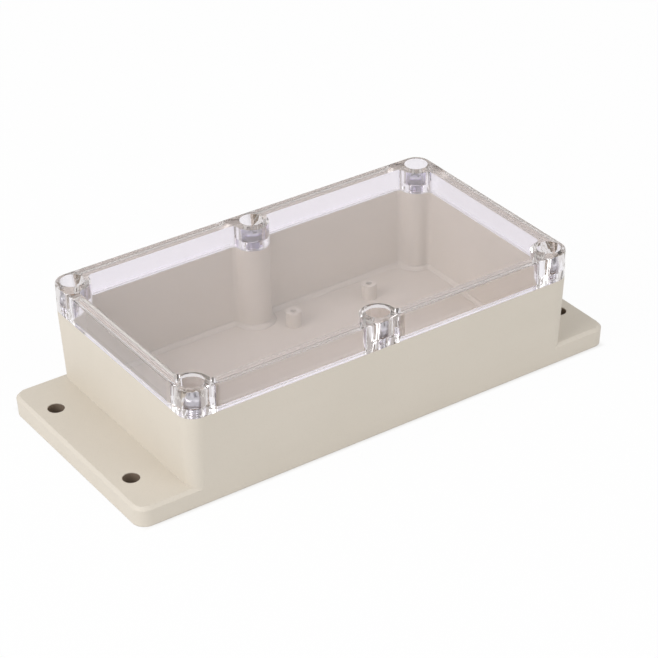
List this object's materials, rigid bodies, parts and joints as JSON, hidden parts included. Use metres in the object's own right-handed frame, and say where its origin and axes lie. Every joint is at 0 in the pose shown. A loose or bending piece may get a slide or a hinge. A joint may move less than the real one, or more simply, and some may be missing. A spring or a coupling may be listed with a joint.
{
  "type": "junction box",
  "caption": "Wall-mounting plastic junction box with an ear at each end and a clear, sealed, screwed-down cover.",
  "frame": {"origin": "middle of the underside, on the wall face", "axes": "+X along the long side towards the ear nearer the board standoffs, +Y across the box, +Z out of the cover"},
  "size_m": [0.1958, 0.09, 0.046],
  "materials": {
    "base_plastic": "fine moulded texture, warm beige",
    "cover_clear": "clear polished polycarbonate",
    "gasket_silicone": "soft moulded silicone",
    "insert_brass": "turned brass",
    "screw_steel": "plain stainless steel"
  },
  "bodies": {
    "housing": {"base": "base_plastic", "gasket": "gasket_silicone", "insert_front_left": "insert_brass", "insert_front_middle": "insert_brass", "insert_front_right": "insert_brass", "insert_rear_left": "insert_brass", "insert_rear_middle": "insert_brass", "insert_rear_right": "insert_brass"},
    "lid": {"cover": "cover_clear"},
    "fastener_front_left": {"screw_front_left": "screw_steel"},
    "fastener_front_middle": {"screw_front_middle": "screw_steel"},
    "fastener_front_right": {"screw_front_right": "screw_steel"},
    "fastener_rear_left": {"screw_rear_left": "screw_steel"},
    "fastener_rear_middle": {"screw_rear_middle": "screw_steel"},
    "fastener_rear_right": {"screw_rear_right": "screw_steel"}
  },
  "joints": [
    {"name": "cover_lift", "type": "slide", "parent": "housing", "child": "lid", "axis": [0, 0, 1], "range_m": [0, 0.05]},
    {"name": "unscrew_front_left", "type": "slide", "parent": "lid", "child": "fastener_front_left", "axis": [0, 0, 1], "range_m": [0, 0.021]},
    {"name": "unscrew_front_middle", "type": "slide", "parent": "lid", "child": "fastener_front_middle", "axis": [0, 0, 1], "range_m": [0, 0.021]},
    {"name": "unscrew_front_right", "type": "slide", "parent": "lid", "child": "fastener_front_right", "axis": [0, 0, 1], "range_m": [0, 0.021]},
    {"name": "unscrew_rear_left", "type": "slide", "parent": "lid", "child": "fastener_rear_left", "axis": [0, 0, 1], "range_m": [0, 0.021]},
    {"name": "unscrew_rear_middle", "type": "slide", "parent": "lid", "child": "fastener_rear_middle", "axis": [0, 0, 1], "range_m": [0, 0.021]},
    {"name": "unscrew_rear_right", "type": "slide", "parent": "lid", "child": "fastener_rear_right", "axis": [0, 0, 1], "range_m": [0, 0.021]}
  ]
}
